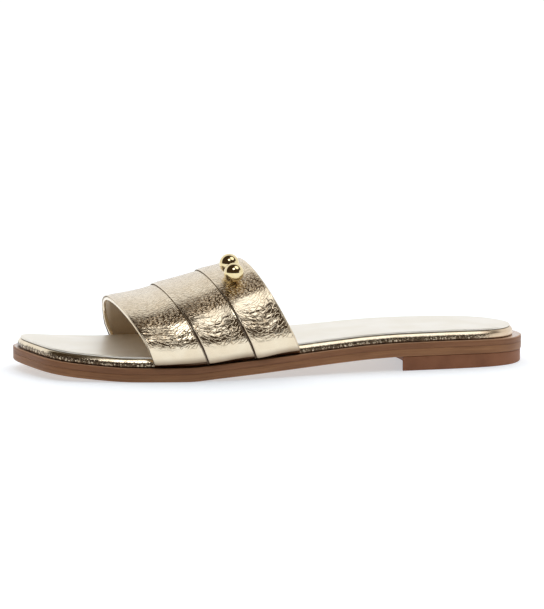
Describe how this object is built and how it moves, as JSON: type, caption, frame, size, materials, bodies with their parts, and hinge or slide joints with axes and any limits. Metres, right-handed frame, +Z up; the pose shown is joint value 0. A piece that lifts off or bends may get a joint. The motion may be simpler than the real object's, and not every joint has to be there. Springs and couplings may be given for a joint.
{
  "type": "leather slide sandal",
  "caption": "Flat slide sandal for a left foot: wide pleated strap in crackled gold leather, wrapped insole, layered leather sole, low ribbed heel and polished balls on the strap.",
  "frame": {"origin": "on the floor, under the middle of the sandal's box", "axes": "+X towards the toe, +Y towards the outer side of the foot, +Z up"},
  "size_m": [0.25, 0.0964, 0.0578],
  "materials": {
    "sole_leather": "smooth tan sole leather, brown-inked edge",
    "edge_leather": "brown-inked, lightly polished edge",
    "heel_rubber": "matt brown with a fine diagonal rib underneath",
    "gold_crackle": "pale gold foil on leather, finely crackled",
    "gold_smooth": "very pale gold foil on leather, smooth",
    "gold_metal": "polished gold-coloured metal"
  },
  "bodies": {
    "root": {"outsole": "sole_leather", "midsole": "edge_leather", "heel": "heel_rubber", "insole": "gold_crackle", "insole_cover": "gold_smooth", "upper": "gold_crackle", "bead_1": "gold_metal", "bead_2": "gold_metal"}
  },
  "joints": []
}
